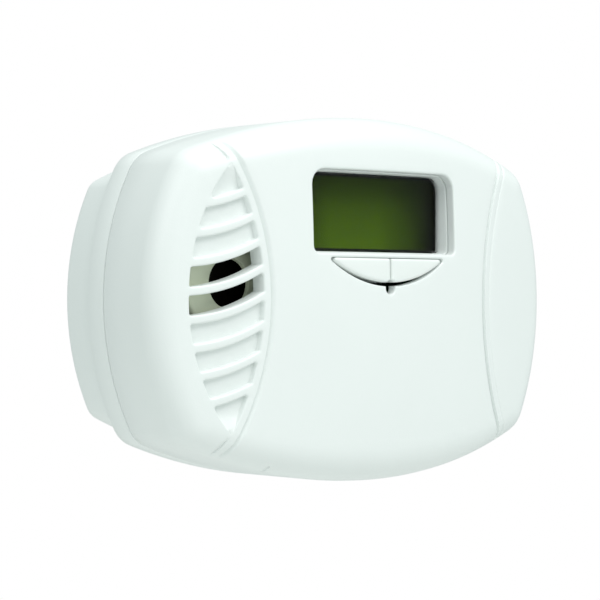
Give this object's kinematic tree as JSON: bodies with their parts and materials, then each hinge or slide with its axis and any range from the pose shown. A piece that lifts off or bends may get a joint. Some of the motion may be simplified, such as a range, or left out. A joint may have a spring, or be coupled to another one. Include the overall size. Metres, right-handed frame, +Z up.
{
  "type": "plug-in carbon monoxide detector",
  "caption": "Wall-plugged gas alarm with display window, half-moon buttons, horn grille and a battery bay behind a hinged door.",
  "frame": {"origin": "middle of the flat wall face of the rear housing", "axes": "+X to the right seen from the front, +Z up, the mains blades leave the wall face towards +Y and the front faces -Y"},
  "size_m": [0.1346, 0.0688, 0.092],
  "materials": {
    "case_plastic": "fine satin moulding",
    "button_plastic": "smooth semi-gloss",
    "window_plastic": "clear polished with a black printed border",
    "lcd_green": "unlit olive display glass",
    "clear_plastic": "clear moulded",
    "cream_plastic": "satin",
    "black_plastic": "satin",
    "board_laminate": "solder mask over glass laminate",
    "nickel": "nickel plated",
    "brass": "rolled brass",
    "screw_steel": "zinc plated",
    "grey_rubber": "matte",
    "cell_sleeve": "printed shrink sleeve, no marks",
    "capacitor_blue": "dipped or sleeved",
    "capacitor_yellow": "moulded box",
    "red_lead": "satin sleeve",
    "black_lead": "satin sleeve",
    "white_lead": "satin sleeve"
  },
  "bodies": {
    "case": {"front_cover": "case_plastic", "rear_housing": "case_plastic", "case_screw_1": "screw_steel", "case_screw_2": "screw_steel", "case_screw_3": "screw_steel", "case_screw_4": "screw_steel", "board_screw_1": "screw_steel", "board_screw_2": "screw_steel", "board_screw_3": "screw_steel", "board_screw_4": "screw_steel", "carrier_screw_1": "screw_steel", "carrier_screw_2": "screw_steel", "display_frame": "case_plastic", "display_window": "window_plastic", "lcd_glass": "lcd_green", "lcd_light_guide": "clear_plastic", "lcd_contact_strip": "grey_rubber", "test_switch_body": "black_plastic", "peak_switch_body": "black_plastic", "status_led": "clear_plastic", "light_pipe": "clear_plastic", "horn_housing": "cream_plastic", "horn_disc": "brass", "horn_contact_1": "nickel", "horn_contact_2": "nickel", "main_board": "board_laminate", "film_capacitor": "capacitor_yellow", "reservoir_capacitor": "capacitor_blue", "filter_capacitor": "capacitor_blue", "varistor": "capacitor_blue", "fuse_resistor": "cream_plastic", "rectifier": "black_plastic", "microcontroller": "black_plastic", "piezo_driver": "black_plastic", "gas_sensor": "nickel", "sensor_filter": "white_lead", "battery_cell_1": "cell_sleeve", "battery_cell_2": "cell_sleeve", "battery_spring_1": "nickel", "battery_spring_2": "nickel", "battery_minus_contact": "nickel", "battery_plus_contact": "nickel", "battery_link_contact": "nickel", "line_blade": "nickel", "neutral_blade": "nickel", "blade_carrier": "black_plastic", "line_wire": "black_lead", "neutral_wire": "white_lead", "battery_minus_wire": "black_lead", "battery_plus_wire": "red_lead"},
    "test_button": {"test_button": "button_plastic"},
    "test_plunger": {"test_switch_plunger": "black_plastic"},
    "peak_button": {"peak_button": "button_plastic"},
    "peak_plunger": {"peak_switch_plunger": "black_plastic"},
    "door": {"battery_door": "case_plastic"}
  },
  "joints": [
    {"name": "test_button_press", "type": "slide", "parent": "case", "child": "test_button", "axis": [0, 1, 0], "range_m": [0, 0.0005], "stiffness_N_per_m": 900, "springref_m": -0.0004},
    {"name": "test_plunger_press", "type": "slide", "parent": "case", "child": "test_plunger", "axis": [0, 1, 0], "range_m": [0, 0.0005]},
    {"name": "peak_button_press", "type": "slide", "parent": "case", "child": "peak_button", "axis": [0, 1, 0], "range_m": [0, 0.0005], "stiffness_N_per_m": 900, "springref_m": -0.0004},
    {"name": "peak_plunger_press", "type": "slide", "parent": "case", "child": "peak_plunger", "axis": [0, 1, 0], "range_m": [0, 0.0005]},
    {"name": "battery_door_hinge", "type": "hinge", "parent": "case", "child": "door", "pos_m": [0, -0.0022, -0.034], "axis": [-1, 0, 0], "range_deg": [0, 95]}
  ],
  "couplings": [
    {"joint": "test_plunger_press", "follows": "test_button_press", "ratio": 1},
    {"joint": "peak_plunger_press", "follows": "peak_button_press", "ratio": 1}
  ]
}
